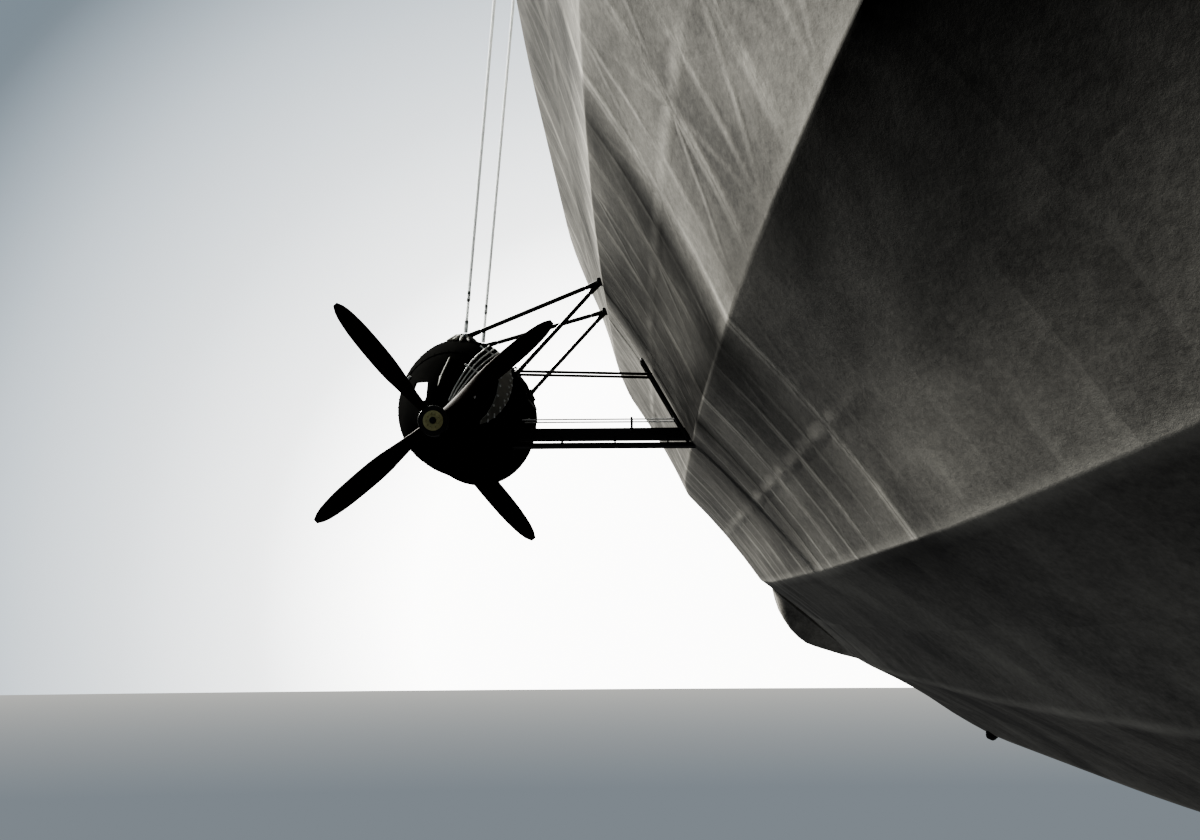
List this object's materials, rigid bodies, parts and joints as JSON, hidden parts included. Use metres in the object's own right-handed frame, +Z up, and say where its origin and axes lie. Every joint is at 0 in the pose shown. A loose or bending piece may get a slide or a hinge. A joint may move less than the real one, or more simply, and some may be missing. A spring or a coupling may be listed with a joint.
{
  "type": "rigid airship, 1:10 scale model",
  "caption": "Rigid airship with a faceted fabric envelope, outrigged engine cars with pusher propellers, cross-shaped tail fins, control car and landing wheels, as a scale model",
  "frame": {"origin": "on the hull's axis at its centre of buoyancy, where the air holds the ship up", "axes": "+X forward along the hull's axis to the nose, +Y to port, +Z up"},
  "size_m": [24.61, 4.8506, 4.385],
  "materials": {
    "doped_fabric": "doped cotton with aluminium powder",
    "black_paint": "satin black",
    "tube_steel": "black paint",
    "laminated_wood": "varnished dark",
    "cast_metal": "as cast",
    "rubber": "matt",
    "window_glass": "clear"
  },
  "bodies": {
    "hull": {"hull_nose": "doped_fabric", "hull_bow": "doped_fabric", "hull_forward": "doped_fabric", "hull_midship": "doped_fabric", "hull_aft": "doped_fabric", "hull_stern": "doped_fabric", "hull_tail": "doped_fabric", "fin_upper": "doped_fabric", "fin_lower": "doped_fabric", "fin_port": "doped_fabric", "fin_starboard": "doped_fabric", "bow_cap": "black_paint", "control_car": "doped_fabric", "control_car_glazing": "window_glass", "rudder_helm": "cast_metal", "elevator_helm": "cast_metal", "front_leg": "tube_steel", "tail_leg": "tube_steel", "car_fore_port_shell": "black_paint", "car_fore_port_engine": "cast_metal", "car_fore_port_radiator": "cast_metal", "car_fore_port_outrigger_front": "tube_steel", "car_fore_port_outrigger_rear": "tube_steel", "car_fore_port_catwalk": "tube_steel", "car_fore_port_handrail": "tube_steel", "car_fore_starboard_shell": "black_paint", "car_fore_starboard_engine": "cast_metal", "car_fore_starboard_radiator": "cast_metal", "car_fore_starboard_outrigger_front": "tube_steel", "car_fore_starboard_outrigger_rear": "tube_steel", "car_fore_starboard_catwalk": "tube_steel", "car_fore_starboard_handrail": "tube_steel", "car_aft_port_shell": "black_paint", "car_aft_port_engine": "cast_metal", "car_aft_port_radiator": "cast_metal", "car_aft_port_outrigger_front": "tube_steel", "car_aft_port_outrigger_rear": "tube_steel", "car_aft_port_catwalk": "tube_steel", "car_aft_port_handrail": "tube_steel", "car_aft_starboard_shell": "black_paint", "car_aft_starboard_engine": "cast_metal", "car_aft_starboard_radiator": "cast_metal", "car_aft_starboard_outrigger_front": "tube_steel", "car_aft_starboard_outrigger_rear": "tube_steel", "car_aft_starboard_catwalk": "tube_steel", "car_aft_starboard_handrail": "tube_steel"},
    "rudder_upper_body": {"rudder_upper": "doped_fabric"},
    "rudder_lower_body": {"rudder_lower": "doped_fabric"},
    "elevator_port_body": {"elevator_port": "doped_fabric"},
    "elevator_starboard_body": {"elevator_starboard": "doped_fabric"},
    "front_wheel_body": {"front_wheel": "rubber"},
    "tail_wheel_body": {"tail_wheel": "rubber"},
    "car_fore_port_propeller_body": {"car_fore_port_propeller": "laminated_wood"},
    "car_fore_starboard_propeller_body": {"car_fore_starboard_propeller": "laminated_wood"},
    "car_aft_port_propeller_body": {"car_aft_port_propeller": "laminated_wood"},
    "car_aft_starboard_propeller_body": {"car_aft_starboard_propeller": "laminated_wood"}
  },
  "joints": [
    {"name": "rudder_upper_turn", "type": "hinge", "parent": "hull", "child": "rudder_upper_body", "pos_m": [-11.456, 0, 1.375], "axis": [0, 0, 1], "range_deg": [-20, 20]},
    {"name": "rudder_lower_turn", "type": "hinge", "parent": "hull", "child": "rudder_lower_body", "pos_m": [-11.456, 0, -1.375], "axis": [0, 0, 1], "range_deg": [-20, 20]},
    {"name": "elevator_port_turn", "type": "hinge", "parent": "hull", "child": "elevator_port_body", "pos_m": [-11.456, 1.375, 0], "axis": [0, 1, 0], "range_deg": [-20, 20]},
    {"name": "elevator_starboard_turn", "type": "hinge", "parent": "hull", "child": "elevator_starboard_body", "pos_m": [-11.456, -1.375, 0], "axis": [0, 1, 0], "range_deg": [-20, 20]},
    {"name": "front_wheel_spin", "type": "hinge", "parent": "hull", "child": "front_wheel_body", "pos_m": [7.05, 0, -2.125], "axis": [0, 1, 0], "continuous": true},
    {"name": "tail_wheel_spin", "type": "hinge", "parent": "hull", "child": "tail_wheel_body", "pos_m": [-10.9, 0, -2.205], "axis": [0, 1, 0], "continuous": true},
    {"name": "car_fore_port_propeller_spin", "type": "hinge", "parent": "hull", "child": "car_fore_port_propeller_body", "pos_m": [0.895, 2.19245, -1.15957], "axis": [1, 0, 0], "continuous": true},
    {"name": "car_fore_starboard_propeller_spin", "type": "hinge", "parent": "hull", "child": "car_fore_starboard_propeller_body", "pos_m": [0.895, -2.19245, -1.15957], "axis": [1, 0, 0], "continuous": true},
    {"name": "car_aft_port_propeller_spin", "type": "hinge", "parent": "hull", "child": "car_aft_port_propeller_body", "pos_m": [-5.155, 1.78318, -1.25618], "axis": [1, 0, 0], "continuous": true},
    {"name": "car_aft_starboard_propeller_spin", "type": "hinge", "parent": "hull", "child": "car_aft_starboard_propeller_body", "pos_m": [-5.155, -1.78318, -1.25618], "axis": [1, 0, 0], "continuous": true}
  ],
  "couplings": [
    {"joint": "rudder_lower_turn", "follows": "rudder_upper_turn", "ratio": 1},
    {"joint": "elevator_starboard_turn", "follows": "elevator_port_turn", "ratio": 1}
  ]
}
